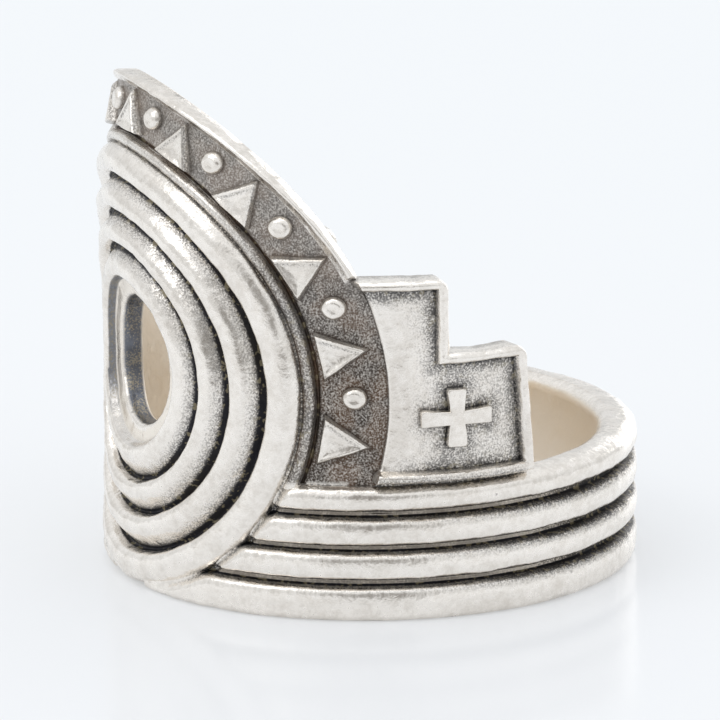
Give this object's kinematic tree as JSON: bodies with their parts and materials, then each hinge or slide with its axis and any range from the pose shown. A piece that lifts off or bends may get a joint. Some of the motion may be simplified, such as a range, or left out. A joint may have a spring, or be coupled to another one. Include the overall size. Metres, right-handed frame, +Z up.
{
  "type": "crown ring",
  "caption": "Cast silver finger ring with a tall pierced crown of concentric rings, an upper border of three-sided studs and bosses, stepped shoulders with crosses and a wired band.",
  "frame": {"origin": "on the finger axis, in the plane of the band's lower edge that the ring stands on", "axes": "+Z up along the finger axis, from the band to the top of the crown; -Y out through the middle of the crown; +X towards one shoulder"},
  "size_m": [0.0218, 0.0216, 0.0205],
  "materials": {
    "oxidised_silver": "cast silver, softly polished on the raised parts, black oxide left in the grooves and on the sunk ground"
  },
  "bodies": {
    "root": {"ring": "oxidised_silver"}
  },
  "joints": []
}
